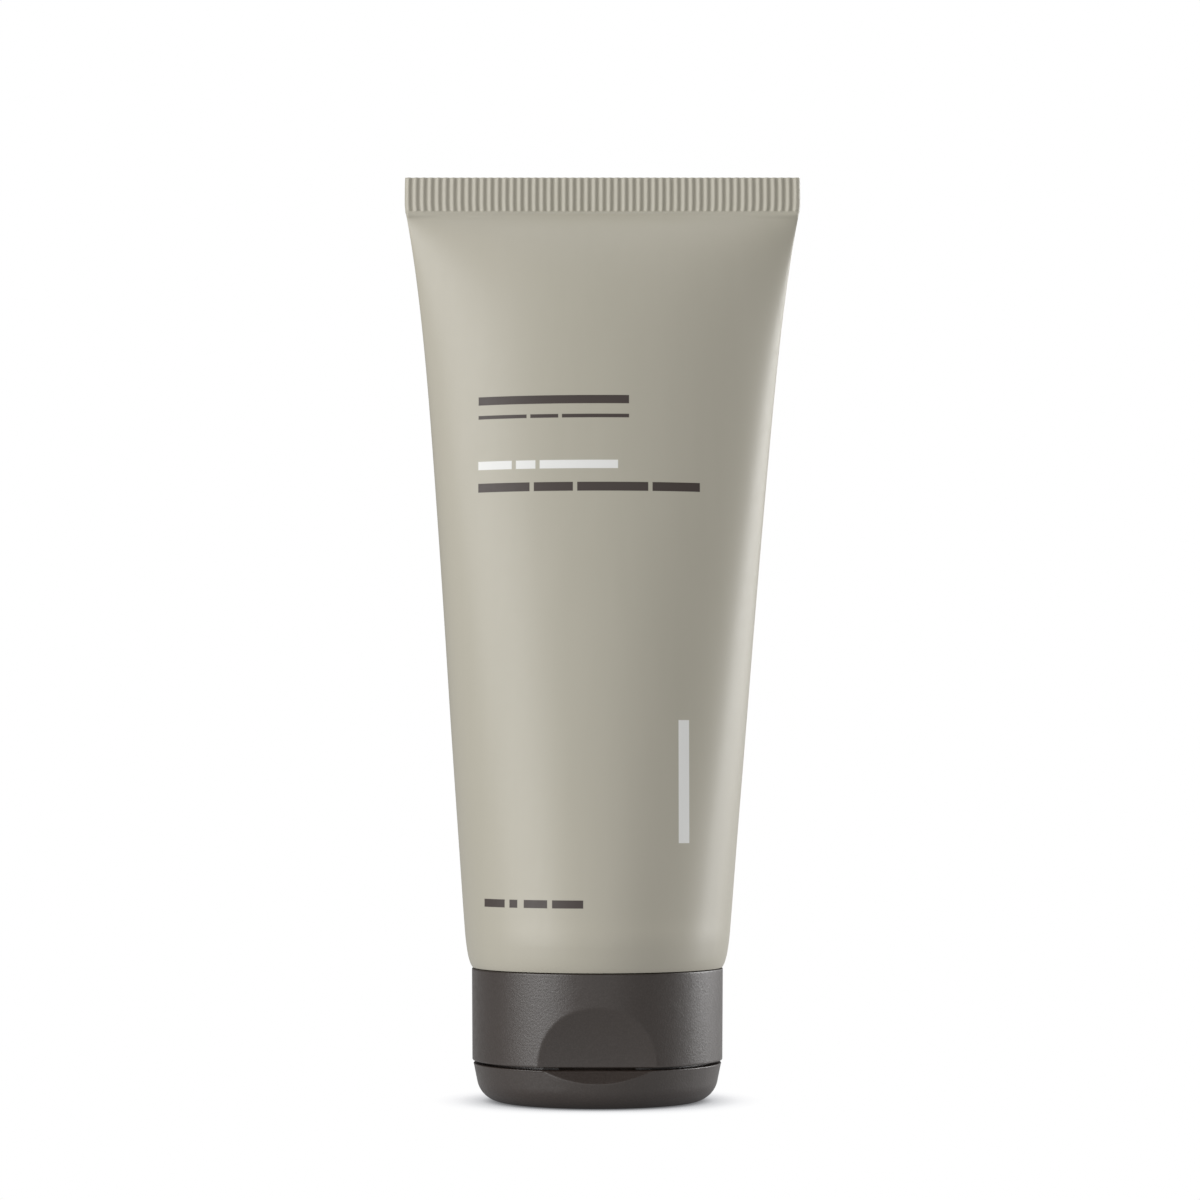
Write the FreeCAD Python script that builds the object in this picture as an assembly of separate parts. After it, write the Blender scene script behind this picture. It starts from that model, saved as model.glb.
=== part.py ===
# Squeezable 200 ml cosmetic tube standing on its flip-top cap.
# Row frame, millimetres: +Z up along the tube axis, origin at the centre of the flat foot of the
# closed lid, -Y is the printed front with the thumb scoop, +Y is the back with the living hinge.
# The cap stands still; the tube screws out of it upwards (right-hand thread), and the lid swings
# open about an X axis at the back.
import FreeCAD, Part
import math
import os

V = FreeCAD.Vector
os.makedirs("parts", exist_ok=True)

# ---------------------------------------------------------------- driving dimensions
# Heights are dimensioned from a drawing datum that lies DATUM_Z under the standing face; every
# piece is set down by DATUM_Z when it is saved, so the foot of the lid stands on z = 0.
DATUM_Z = 1.0

# flip lid
LID_FOOT_Z = DATUM_Z       # flat standing face
LID_FOOT_R = 18.3
LID_TOP_Z = 8.35           # rim of the lid at the parting gap
LID_RIM_R = 23.64          # outer radius at the rim
LID_CORNER_R = 4.75        # corner between the foot and the tapered side
LID_TAPER = 11.5           # degrees
LID_WALL = 1.35
LID_FLOOR = LID_FOOT_Z + 1.4
LID_GATE_R = 1.6           # moulding gate dimple in the foot
LID_GATE_DEPTH = 0.25
PLUG_R = 2.65              # plug that closes the orifice
PLUG_BORE_R = 1.55
PLUG_TOP_Z = 9.7

# cap base
BASE_BOTTOM_Z = 8.85       # deck face at the parting gap
BASE_TOP_Z = 26.3          # rim under the tube shoulder
BASE_R_BOTTOM = 23.9
BASE_R_TOP = 24.02
BASE_WALL = 1.35
DECK_T = 1.5
EDGE = 0.28                # small edge break on the rims
BOSS_R_OUT = 21.55         # ring that centres the lid
BOSS_R_IN = 20.35
BOSS_LOW_Z = 7.25
ORIFICE_R = 3.0
SPOUT_R_DECK = 5.4
SPOUT_R_TIP = 4.5
SPOUT_TIP_Z = 6.1
SKIRT_R_IN = 12.25         # threaded inner skirt
SKIRT_R_OUT = 13.75
SKIRT_TOP_Z = 23.4
LAND_R_IN = 9.0            # seal land under the neck
LAND_R_OUT = 10.3
RIB_COUNT = 8
RIB_T = 0.9
RIB_TOP_Z = 17.0

# thumb scoop at the front
SCOOP_DEPTH = 2.86         # measured in from radius 24 at the parting gap
SCOOP_R = 24.3             # sweep radius of the scoop in the base
SCOOP_Z = 8.6
LID_SCOOP_SLOPE = 0.767    # outward run per mm of depth of the slanted flat in the lid

# living hinge at the back
HINGE_Y = 22.2             # flat facet on which the webs lie, and the hinge axis
HINGE_Z = 8.6
FACET_TOP_Z = 13.6
WEB_T = 0.42               # web thickness away from the fold
WEB_FILM_T = 0.14          # film thickness at the fold
WEB_FOLD = 1.15            # half height of the thinned fold
WEB_GROOVE_R = 0.3         # round bottom of the fold
SIDE_WEB_X = (4.3, 6.9)
SIDE_WEB_Z = (6.6, 10.6)
MID_WEB_X = 3.7
MID_WEB_Z = (4.5, 12.7)

# screw thread
PITCH = 3.175
NECK_R = 10.9
NECK_THREAD_R = 11.9
CAP_THREAD_R = 11.25
NECK_THREAD_Z = (14.6, 22.6)
CAP_THREAD_Z = (15.4, 21.6)

# tube head
NECK_BORE_R = 8.6
NECK_END_Z = 12.45
SHOULDER_NECK_Z = 24.6     # underside of the shoulder at the neck
SHOULDER_T = 1.5
FOIL_T = 0.08

# sleeve
SLEEVE_WALL = 0.5
SEAL_BOTTOM_Z = 171.5
RIB_BOTTOM_Z = 172.2
SEAL_TOP_Z = 178.6
SEAL_HALF_W = 38.3
SEAL_HALF_T = 0.5
RIBS = 53
RIB_H = 0.24
FILL_Z = 148.6             # level of the cream

# half width of the sleeve against height
WIDTHS = [
    (26.45, 23.86), (26.9, 24.17), (27.6, 24.50), (28.5, 24.74), (29.6, 24.94), (31.2, 25.17),
    (34.8, 25.50), (38.6, 25.83), (42.4, 26.12), (46.3, 26.42), (50.1, 26.71), (57.8, 27.28),
    (65.4, 27.88), (73.1, 28.47), (80.8, 29.02), (88.5, 29.59), (96.2, 30.17), (103.9, 30.77),
    (111.7, 31.38), (119.4, 32.02), (127.1, 32.67), (134.9, 33.36), (142.6, 34.09),
    (150.4, 34.95), (154.3, 35.41), (158.2, 35.92), (162.1, 36.47), (166.0, 37.10), (169.4, 37.68),
    (171.6, 38.12),
]


def interp(table, z):
    if z <= table[0][0]:
        return table[0][1]
    for (z0, a0), (z1, a1) in zip(table, table[1:]):
        if z <= z1:
            return a0 + (a1 - a0) * (z - z0) / (z1 - z0)
    return table[-1][1]


def sharp(z):
    t = min(1.0, max(0.0, (z - 112.0) / 58.0))
    return 0.5 + 0.2 * t * t * (3 - 2 * t)


def section_xy(a, b, s, n):
    out = []
    for k in range(n):
        t = 2 * math.pi * k / n
        c, si = math.cos(t), math.sin(t)
        out.append((a * c, b * math.copysign(abs(si) ** (2 * s), si)))
    return out


def perimeter(a, b, s):
    p = section_xy(a, b, s, 720)
    return sum(math.dist(p[i], p[i - 1]) for i in range(len(p)))


def girth(z):
    """The wall keeps its girth from the round shoulder to the flat seal."""
    low, high = 2 * math.pi * 25.17, 4 * SEAL_HALF_W
    t = min(1.0, max(0.0, (z - 31.2) / (SEAL_BOTTOM_Z - 31.2)))
    return low + (high - low) * t


def half_depth(z):
    a = interp(WIDTHS, z)
    if z <= 31.2:
        return a
    s, want = sharp(z), girth(z)
    lo, hi = 0.01, a * 1.02
    for _ in range(60):
        mid = (lo + hi) / 2
        if perimeter(a, mid, s) < want:
            lo = mid
        else:
            hi = mid
    b = (lo + hi) / 2
    # just below the seal the faces leave the flat crimp at a limited slope
    lim = 0.25 + (SEAL_BOTTOM_Z + 0.1 - z) * 1.35
    return (b ** -3 + lim ** -3) ** (-1 / 3.0)


def box(x0, x1, y0, y1, z0, z1):
    return Part.makeBox(x1 - x0, y1 - y0, z1 - z0, V(x0, y0, z0))


def revolve(points):
    """Closed (r, z) outline turned about Z."""
    pts = [V(r, 0, z) for r, z in points]
    wire = Part.makePolygon(pts + [pts[0]])
    return Part.Face(wire).revolve(V(0, 0, 0), V(0, 0, 1), 360)


def revolve_edges(edges):
    wire = Part.Wire(edges)
    return Part.Face(wire).revolve(V(0, 0, 0), V(0, 0, 1), 360)


def ring(r_in, r_out, z0, z1):
    s = Part.makeCylinder(r_out, z1 - z0, V(0, 0, z0))
    return s.cut(Part.makeCylinder(r_in, z1 - z0, V(0, 0, z0))) if r_in > 0 else s


def prism_x(points, half):
    """Closed (y, z) outline drawn along X from -half to +half."""
    pts = [V(-half, y, z) for y, z in points]
    return Part.Face(Part.makePolygon(pts + [pts[0]])).extrude(V(2 * half, 0, 0))


def save(name, shape):
    solids = shape.Solids
    assert solids and all(s.isValid() and s.isClosed() for s in solids), name
    shape = solids[0] if len(solids) == 1 else Part.makeCompound(solids)
    shape.translate(V(0, 0, -DATUM_Z))
    shape.exportStep("parts/%s.step" % name)
    b = shape.BoundBox
    print("%-18s solids %d faces %4d volume %9.1f mm3  x %.2f..%.2f y %.2f..%.2f z %.2f..%.2f" % (
        name, len(solids), len(shape.Faces), sum(s.Volume for s in solids), b.XMin, b.XMax, b.YMin, b.YMax, b.ZMin, b.ZMax))
    return shape


# ---------------------------------------------------------------- sleeve
def section_wire(a, b, s, z, n=40):
    pts = [V(x, y, z) for x, y in section_xy(a, b, s, n)]
    curve = Part.BSplineCurve()
    curve.interpolate(Points=pts, PeriodicFlag=True)
    return Part.Wire([curve.toShape()])


LEVELS = [36.0, 46.0, 60.0, 78.0, 96.0, 114.0, 130.0, 143.0, 153.0, 160.0, 165.0, 168.6, 170.4]
FOOT = [26.45, 26.9, 27.6, 28.5, 29.6, 31.2, 33.4]


def sleeve_wires(off, z_high):
    """Sections of the sleeve outline, pulled in by off, from its rolled-in foot to a height."""
    zs = FOOT + [z for z in LEVELS if z < z_high - 0.4] + [z_high]
    return [section_wire(interp(WIDTHS, z) - off, max(0.15, half_depth(z) - off), sharp(z), z) for z in zs]


foot_r = interp(WIDTHS, FOOT[0]) - SLEEVE_WALL
hollow = [section_wire(foot_r - 0.34, foot_r - 0.34, 0.5, FOOT[0] - 0.5)] + sleeve_wires(SLEEVE_WALL, 169.8)
shell = Part.makeLoft(sleeve_wires(0.0, SEAL_BOTTOM_Z + 0.1), True, False, False)
shell = shell.cut(Part.makeLoft(hollow, True, False, False))

# crimped end: the two walls welded flat, with vertical ribs pressed into both faces
rib_pitch = 2 * SEAL_HALF_W / RIBS
front, back = [], []
for k in range(RIBS):
    x0 = -SEAL_HALF_W + k * rib_pitch
    for f, h in ((0.0, 0.0), (0.22, 0.0), (0.40, RIB_H), (0.72, RIB_H), (0.90, 0.0)):
        front.append((x0 + f * rib_pitch, -(SEAL_HALF_T + h - RIB_H / 2)))
        back.append((x0 + f * rib_pitch, SEAL_HALF_T + h - RIB_H / 2))
front.append((SEAL_HALF_W, -(SEAL_HALF_T - RIB_H / 2)))
back.append((SEAL_HALF_W, SEAL_HALF_T - RIB_H / 2))
outline = front + back[::-1]
pts = [V(x, y, RIB_BOTTOM_Z) for x, y in outline]
crimp = Part.Face(Part.makePolygon(pts + [pts[0]])).extrude(V(0, 0, SEAL_TOP_Z - RIB_BOTTOM_Z))
crimp = crimp.fuse(box(-SEAL_HALF_W, SEAL_HALF_W, -SEAL_HALF_T - RIB_H / 2, SEAL_HALF_T + RIB_H / 2, SEAL_BOTTOM_Z - 0.5, RIB_BOTTOM_Z))
sleeve = shell.fuse(crimp)
save("tube_sleeve", sleeve)

# ---------------------------------------------------------------- thread ridges
def ridge(r_root, r_crest, z0, z1, base_w, tip_w, phase, sink):
    """Helical ridge between two heights; r_root is the wall that carries it."""
    h = z1 - z0
    outward = r_crest > r_root
    r_in = r_root - sink if outward else r_root + sink
    helix = Part.makeLongHelix(PITCH, h, r_root) if hasattr(Part, "makeLongHelix") else Part.makeHelix(PITCH, h, r_root)
    helix.translate(V(0, 0, z0))
    spine = Part.Wire(helix.Edges)
    p = [V(r_in, 0, z0 - base_w / 2), V(r_crest, 0, z0 - tip_w / 2), V(r_crest, 0, z0 + tip_w / 2), V(r_in, 0, z0 + base_w / 2)]
    profile = Part.Wire(Part.makePolygon(p + [p[0]]).Edges)
    pipe = Part.BRepOffsetAPI.MakePipeShell(spine)
    pipe.setFrenetMode(True)
    pipe.add(profile)
    pipe.build()
    pipe.makeSolid()
    s = pipe.shape()
    s = s if s.ShapeType == "Solid" else Part.Solid(s)
    if s.Volume < 0:
        s.reverse()
    s.rotate(V(0, 0, 0), V(0, 0, 1), phase)
    return s


# ---------------------------------------------------------------- tube head: shoulder, neck, thread
sh_out_r = 23.30
head = [
    (NECK_BORE_R, NECK_END_Z), (NECK_R - 0.35, NECK_END_Z), (NECK_R, NECK_END_Z + 0.35), (NECK_R, SHOULDER_NECK_Z),
    (sh_out_r - 0.05, 26.5),
]
liner = [(interp(WIDTHS, z) - SLEEVE_WALL - 0.02, z) for z in (26.9, 27.6, 28.5, 29.6, 31.2)]
head += liner
head += [(liner[-1][0] - 0.9, 31.2), (liner[-2][0] - 1.1, 29.4), (22.2, 28.3), (NECK_BORE_R + 1.2, SHOULDER_NECK_Z + SHOULDER_T),
         (NECK_BORE_R, SHOULDER_NECK_Z + SHOULDER_T - 1.0)]
head = revolve(head)
male = ridge(NECK_R, NECK_THREAD_R, NECK_THREAD_Z[0], NECK_THREAD_Z[1], 1.7, 0.75, 0.0, 0.3)
head = head.fuse(male)
save("tube_shoulder", head)

# ---------------------------------------------------------------- foil across the neck
save("foil_seal", ring(0, NECK_R - 0.3, NECK_END_Z - FOIL_T, NECK_END_Z))

# ---------------------------------------------------------------- cream
gap = 0.3
cream_low = [
    (0, NECK_END_Z + gap), (NECK_BORE_R - gap, NECK_END_Z + gap), (NECK_BORE_R - gap, SHOULDER_NECK_Z + SHOULDER_T - 1.0),
    (NECK_BORE_R + 1.2 - gap, SHOULDER_NECK_Z + SHOULDER_T + gap), (22.2 - gap, 28.3 + gap), (liner[-2][0] - 1.1 - gap, 29.4 + gap),
    (liner[-1][0] - 1.6 - gap, 31.2 + gap / 2), (liner[-1][0] - 1.6 - gap, 33.0), (0, 33.0),
]
cream_low = revolve(cream_low)
r_start = liner[-1][0] - 0.9 - gap
wires = [section_wire(r_start, r_start, 0.5, 31.2 + gap / 2)]
for z in [z for z in FOOT[-1:] + LEVELS if z < FILL_Z - 1.5] + [FILL_Z]:
    off = SLEEVE_WALL + gap
    wires.append(section_wire(interp(WIDTHS, z) - off, half_depth(z) - off, sharp(z), z))
cream = Part.makeLoft(wires, True, False, False).fuse(cream_low)
save("shaving_cream", cream)

# ---------------------------------------------------------------- thumb scoop tools
def base_scoop(extra):
    s = Part.makeCylinder(SCOOP_R + extra, 80, V(-40, -(24.0 - SCOOP_DEPTH) - SCOOP_R, SCOOP_Z), V(1, 0, 0))
    return s.common(box(-40, 40, -80, 0, SCOOP_Z - 4, 60))


def lid_scoop(extra):
    """Slanted flat that carries the scoop down into the lid; extra moves it inwards."""
    y = -(24.0 - SCOOP_DEPTH) + extra
    return prism_x([(y, SCOOP_Z + 4), (y, SCOOP_Z), (y - 6 * LID_SCOOP_SLOPE, SCOOP_Z - 6), (-60, SCOOP_Z - 6), (-60, SCOOP_Z + 4)], 40)


# ---------------------------------------------------------------- cap base
def base_r(z):
    return BASE_R_BOTTOM + (BASE_R_TOP - BASE_R_BOTTOM) * (z - BASE_BOTTOM_Z) / (BASE_TOP_Z - BASE_BOTTOM_Z)


body = revolve([
    (0, BASE_BOTTOM_Z), (base_r(BASE_BOTTOM_Z) - EDGE, BASE_BOTTOM_Z), (base_r(BASE_BOTTOM_Z + EDGE), BASE_BOTTOM_Z + EDGE),
    (base_r(BASE_TOP_Z - EDGE), BASE_TOP_Z - EDGE), (base_r(BASE_TOP_Z) - EDGE * 0.7, BASE_TOP_Z), (0, BASE_TOP_Z),
])
body = body.cut(base_scoop(0.0))
body = body.cut(box(-30, 30, HINGE_Y, 40, 0, FACET_TOP_Z))

deck_in = BASE_BOTTOM_Z + DECK_T
cavity = Part.makeCylinder(base_r(BASE_BOTTOM_Z) - BASE_WALL, BASE_TOP_Z - deck_in + 1, V(0, 0, deck_in))
cavity = cavity.cut(base_scoop(1.3))
cavity = cavity.cut(box(-30, 30, HINGE_Y - 1.2, 40, 0, FACET_TOP_Z + 1.2))
# a shallow seat at the rim leaves room for the sloping shoulder
cavity = cavity.fuse(Part.makeCone(22.55, 23.2, 1.2, V(0, 0, BASE_TOP_Z - 0.9)).common(ring(0, 30, BASE_TOP_Z - 0.9, BASE_TOP_Z + 0.3)))
base = body.cut(cavity)

skirt = ring(SKIRT_R_IN, SKIRT_R_OUT, deck_in - 0.3, SKIRT_TOP_Z)
skirt = skirt.cut(Part.makeCone(SKIRT_R_IN, SKIRT_R_IN + 0.7, 0.8, V(0, 0, SKIRT_TOP_Z - 0.8)))
female = ridge(SKIRT_R_IN, CAP_THREAD_R, CAP_THREAD_Z[0], CAP_THREAD_Z[1], 1.35, 0.65, 180.0 - 360.0 * ((CAP_THREAD_Z[0] - NECK_THREAD_Z[0]) / PITCH) * -1.0, 0.3)
skirt = skirt.fuse(female)
base = base.fuse(skirt)
base = base.fuse(ring(LAND_R_IN, LAND_R_OUT, deck_in - 0.3, NECK_END_Z - FOIL_T - 0.05))

ribs = []
for k in range(RIB_COUNT):
    rib = box(SKIRT_R_OUT - 0.3, base_r(12) - BASE_WALL + 0.3, -RIB_T / 2, RIB_T / 2, deck_in - 0.3, RIB_TOP_Z)
    rib.rotate(V(0, 0, 0), V(0, 0, 1), 22.5 + 45.0 * k)
    ribs.append(rib.common(body))
for r in ribs:
    base = base.fuse(r)

# ring that centres the lid, flattened behind the scoop and at the hinge
boss = revolve([(BOSS_R_IN, BASE_BOTTOM_Z + 0.3), (BOSS_R_IN, BOSS_LOW_Z + 0.15), (BOSS_R_IN + 0.2, BOSS_LOW_Z), (BOSS_R_OUT - 0.4, BOSS_LOW_Z),
                (BOSS_R_OUT, BOSS_LOW_Z + 0.4), (BOSS_R_OUT, BASE_BOTTOM_Z + 0.3)])
boss = boss.common(box(-30, 30, -19.3, 20.3, 0, 12))
base = base.fuse(boss)

spout = revolve([(0, BASE_BOTTOM_Z + 0.3), (0, SPOUT_TIP_Z), (SPOUT_R_TIP - 0.4, SPOUT_TIP_Z), (SPOUT_R_TIP, SPOUT_TIP_Z + 0.4),
                 (SPOUT_R_DECK - 0.35, BASE_BOTTOM_Z - 0.35), (SPOUT_R_DECK + 0.1, BASE_BOTTOM_Z), (SPOUT_R_DECK + 0.1, BASE_BOTTOM_Z + 0.3)])
base = base.fuse(spout)
base = base.cut(Part.makeCylinder(ORIFICE_R, 12, V(0, 0, 2)))
base = base.cut(Part.makeCone(ORIFICE_R, ORIFICE_R + 1.2, 1.0, V(0, 0, deck_in - 1.0)))
base = base.cut(Part.makeCone(ORIFICE_R + 0.35, ORIFICE_R, 0.35, V(0, 0, SPOUT_TIP_Z)))
save("cap_base", base)

# ---------------------------------------------------------------- flip lid
def corner(angle):
    """Point on the corner arc; 0 degrees is level with its centre, -90 is on the foot."""
    a = math.radians(angle)
    return V(LID_FOOT_R + LID_CORNER_R * math.cos(a), 0, LID_FOOT_Z + LID_CORNER_R + LID_CORNER_R * math.sin(a))


bend = corner(-LID_TAPER)
edges = [
    Part.makeLine(V(0, 0, LID_FOOT_Z), V(LID_FOOT_R, 0, LID_FOOT_Z)),
]
edges += [
    Part.Arc(V(LID_FOOT_R, 0, LID_FOOT_Z), corner(-50.0), bend).toShape(),
    Part.makeLine(bend, V(LID_RIM_R, 0, LID_TOP_Z - 0.2)),
    Part.makeLine(V(LID_RIM_R, 0, LID_TOP_Z - 0.2), V(LID_RIM_R - 0.22, 0, LID_TOP_Z)),
    Part.makeLine(V(LID_RIM_R - 0.22, 0, LID_TOP_Z), V(0, 0, LID_TOP_Z)),
    Part.makeLine(V(0, 0, LID_TOP_Z), V(0, 0, LID_FOOT_Z)),
]
lid_body = revolve_edges(edges)
lid_body = lid_body.cut(lid_scoop(0.0))
lid_body = lid_body.cut(box(-30, 30, HINGE_Y, 40, -1, 12))
lid_body = lid_body.cut(Part.makeCylinder(LID_GATE_R, LID_GATE_DEPTH + 0.5, V(0, 0, LID_FOOT_Z - 0.5)))

ri = LID_RIM_R - LID_WALL
in_curve = Part.BezierCurve()
in_curve.setPoles([V(17.6, 0, LID_FLOOR), V(19.9, 0, LID_FLOOR), V(21.3, 0, LID_FLOOR + 1.1), V(21.6, 0, LID_FLOOR + 2.9)])
in_edges = [
    Part.makeLine(V(0, 0, LID_FLOOR), V(17.6, 0, LID_FLOOR)),
    in_curve.toShape(),
    Part.makeLine(V(21.6, 0, LID_FLOOR + 2.9), V(22.25, 0, 9.5)),
    Part.makeLine(V(22.25, 0, 9.5), V(0, 0, 9.5)),
    Part.makeLine(V(0, 0, 9.5), V(0, 0, LID_FLOOR)),
]
lid_cavity = revolve_edges(in_edges)
lid_cavity = lid_cavity.cut(lid_scoop(1.15))
lid_cavity = lid_cavity.cut(box(-30, 30, HINGE_Y - 1.15, 40, -1, 12))
lid = lid_body.cut(lid_cavity)
plug = revolve([(0, LID_FLOOR - 0.3), (PLUG_R + 0.5, LID_FLOOR - 0.3), (PLUG_R + 0.5, LID_FLOOR), (PLUG_R, LID_FLOOR + 0.5),
                (PLUG_R, PLUG_TOP_Z - 0.7), (PLUG_R - 0.45, PLUG_TOP_Z), (0, PLUG_TOP_Z)])
plug = plug.cut(Part.makeCylinder(PLUG_BORE_R, 12, V(0, 0, LID_FLOOR + 0.1)))
lid = lid.fuse(plug).removeSplitter()
save("flip_lid", lid)

# ---------------------------------------------------------------- living hinge webs
def web(x0, x1, z0, z1):
    """Flat strap on the facet, thinned to a film by a round-bottomed groove along the hinge line."""
    y0 = HINGE_Y
    cy = y0 + WEB_FILM_T + WEB_GROOVE_R
    # tangent from the groove's shoulder (py, HINGE_Z - WEB_FOLD) to its round bottom
    py, reach = y0 + WEB_T - cy, math.hypot(y0 + WEB_T - cy, WEB_FOLD)
    turn = math.atan2(-WEB_FOLD, py) - math.acos(WEB_GROOVE_R / reach)
    ty, tz = cy + WEB_GROOVE_R * math.cos(turn), WEB_GROOVE_R * math.sin(turn)
    low = [(y0, z0), (y0 + WEB_T - 0.12, z0), (y0 + WEB_T, z0 + 0.12), (y0 + WEB_T, HINGE_Z - WEB_FOLD), (ty, HINGE_Z + tz)]
    high = [(ty, HINGE_Z - tz), (y0 + WEB_T, HINGE_Z + WEB_FOLD), (y0 + WEB_T, z1 - 0.12), (y0 + WEB_T - 0.12, z1), (y0, z1), (y0, z0)]
    low, high = [V(x0, y, z) for y, z in low], [V(x0, y, z) for y, z in high]
    groove = Part.Arc(low[-1], V(x0, cy - WEB_GROOVE_R, HINGE_Z), high[0]).toShape()
    wire = Part.Wire(Part.makePolygon(low).Edges + [groove] + Part.makePolygon(high).Edges)
    return Part.Face(wire).extrude(V(x1 - x0, 0, 0))


save("hinge_web_left", web(-SIDE_WEB_X[1], -SIDE_WEB_X[0], *SIDE_WEB_Z))
save("hinge_web_right", web(SIDE_WEB_X[0], SIDE_WEB_X[1], *SIDE_WEB_Z))
save("hinge_web_centre", web(-MID_WEB_X, MID_WEB_X, *MID_WEB_Z))
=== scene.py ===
import math
import bpy
import bmesh
import numpy as np
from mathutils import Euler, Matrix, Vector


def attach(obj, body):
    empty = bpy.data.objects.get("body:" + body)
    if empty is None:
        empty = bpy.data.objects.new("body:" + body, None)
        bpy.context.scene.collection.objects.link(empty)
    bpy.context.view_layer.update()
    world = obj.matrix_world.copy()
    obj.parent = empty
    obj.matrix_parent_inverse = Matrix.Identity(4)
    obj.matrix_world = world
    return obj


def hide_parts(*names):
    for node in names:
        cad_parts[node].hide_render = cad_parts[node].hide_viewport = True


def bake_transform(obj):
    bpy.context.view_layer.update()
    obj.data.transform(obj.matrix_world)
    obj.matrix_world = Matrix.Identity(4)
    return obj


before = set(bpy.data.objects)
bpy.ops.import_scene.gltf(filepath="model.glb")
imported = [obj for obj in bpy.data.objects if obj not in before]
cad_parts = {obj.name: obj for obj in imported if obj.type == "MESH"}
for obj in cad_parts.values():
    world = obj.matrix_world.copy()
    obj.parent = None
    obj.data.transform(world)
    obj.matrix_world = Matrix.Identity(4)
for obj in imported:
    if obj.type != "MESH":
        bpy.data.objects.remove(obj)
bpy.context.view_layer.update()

MM = 0.001
DATUM = 1.0  # heights below are drawn from a datum this many mm under the standing face

# ------------------------------------------------------------------ sleeve outline, in mm
WIDTHS = [
    (31.9, 25.26), (33.4, 25.38), (35.35, 25.56), (39.2, 25.86), (43.0, 26.13), (46.8, 26.44), (50.7, 26.72), (54.5, 26.98),
    (58.3, 27.28), (62.2, 27.61), (66.0, 27.88), (69.8, 28.21), (73.7, 28.49), (77.5, 28.74), (81.4, 29.02), (85.2, 29.31),
    (89.1, 29.59), (92.9, 29.87), (96.8, 30.16), (100.6, 30.49), (104.5, 30.78), (108.35, 31.10), (112.2, 31.39),
    (116.1, 31.68), (119.9, 32.00), (123.8, 32.34), (127.7, 32.63), (131.6, 32.99), (135.4, 33.34), (139.3, 33.70),
    (143.2, 34.09), (147.1, 34.52), (150.95, 34.96), (154.8, 35.38), (158.7, 35.89), (162.6, 36.45), (166.5, 37.13),
    (168.5, 37.48), (169.2, 37.56), (170.0, 37.71), (170.8, 37.85), (171.6, 38.02),
]
FOOT = [(26.45, 23.90), (26.75, 24.10), (27.3, 24.36), (28.1, 24.62), (28.9, 24.81), (29.6, 24.94), (30.4, 25.06), (31.2, 25.17), (31.9, 25.26),
        (33.4, 25.41), (35.35, 25.57)]
SEAL_Z0, SEAL_Z1 = 171.85, 178.6
SEAL_W, SEAL_T = 38.28, 0.5
RIBS, RIB_A = 53, 0.18
PER_RIB = 8
HALF = RIBS * PER_RIB


def fit(points, degree):
    z = np.array([p[0] for p in points])
    a = np.array([p[1] for p in points])
    mid, span = 101.5, 70.5
    return np.polyfit((z - mid) / span, a, degree), mid, span


POLY, PMID, PSPAN = fit(WIDTHS, 9)


def pchip(table, z):
    x = np.array([p[0] for p in table], float)
    y = np.array([p[1] for p in table], float)
    h, d = np.diff(x), np.diff(y) / np.diff(x)
    m = np.zeros(len(x))
    m[0], m[-1] = d[0], d[-1]
    for i in range(1, len(x) - 1):
        if d[i - 1] * d[i] > 0:
            w1, w2 = 2 * h[i] + h[i - 1], h[i] + 2 * h[i - 1]
            m[i] = (w1 + w2) / (w1 / d[i - 1] + w2 / d[i])
    z = float(z)
    i = int(np.clip(np.searchsorted(x, z) - 1, 0, len(x) - 2))
    t = np.clip((z - x[i]) / h[i], 0, 1)
    return float((2 * t**3 - 3 * t**2 + 1) * y[i] + (t**3 - 2 * t**2 + t) * h[i] * m[i] + (-2 * t**3 + 3 * t**2) * y[i + 1] + (t**3 - t**2) * h[i] * m[i + 1])


def smooth(a, b, x):
    t = min(1.0, max(0.0, (x - a) / (b - a)))
    return t * t * (3 - 2 * t)


def width(z):
    p = float(np.polyval(POLY, (z - PMID) / PSPAN))
    if z >= 35.0:
        return p
    f = pchip(FOOT, z)
    w = smooth(31.2, 35.0, z)
    return f * (1 - w) + p * w


def sharp(z):
    return 0.5 + 0.2 * smooth(112.0, 170.0, z)


T = np.linspace(0, 2 * np.pi, 2881)


def outline(a, b, s):
    """Closed section from the left fold round the front (-Y) to the right fold and back."""
    c, si = -np.cos(T), -np.sin(T)
    return np.stack([a * c, b * np.sign(si) * np.abs(si) ** (2 * s)], 1)


def length(p):
    return float(np.hypot(*np.diff(p, axis=0).T).sum())


def girth(z):
    low, high = 2 * math.pi * 25.17, 4 * SEAL_W
    return low + (high - low) * min(1.0, max(0.0, (z - 31.2) / (SEAL_Z0 - 31.2)))


def depth(z):
    a = width(z)
    if z <= 31.2:
        return a
    lo, hi, s, want = 0.01, a * 1.02, sharp(z), girth(z)
    for _ in range(40):
        mid = (lo + hi) / 2
        if length(outline(a, mid, s)) < want:
            lo = mid
        else:
            hi = mid
    b = (lo + hi) / 2
    b = a + (b - a) * smooth(31.2, 36.0, z)
    lim = 0.25 + (SEAL_Z0 - z) * 1.35
    return (b**-3 + max(lim, 0.05) ** -3) ** (-1 / 3.0)


def resample(p, half):
    """half steps along the front, half along the back, both even in arc length."""
    k = (len(p) - 1) // 2
    out = []
    for q in (p[: k + 1], p[k:]):
        d = np.concatenate([[0], np.cumsum(np.hypot(*np.diff(q, axis=0).T))])
        u = np.linspace(0, d[-1], half + 1)[:-1]
        out.append(np.stack([np.interp(u, d, q[:, 0]), np.interp(u, d, q[:, 1])], 1))
    return np.concatenate(out)


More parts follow.
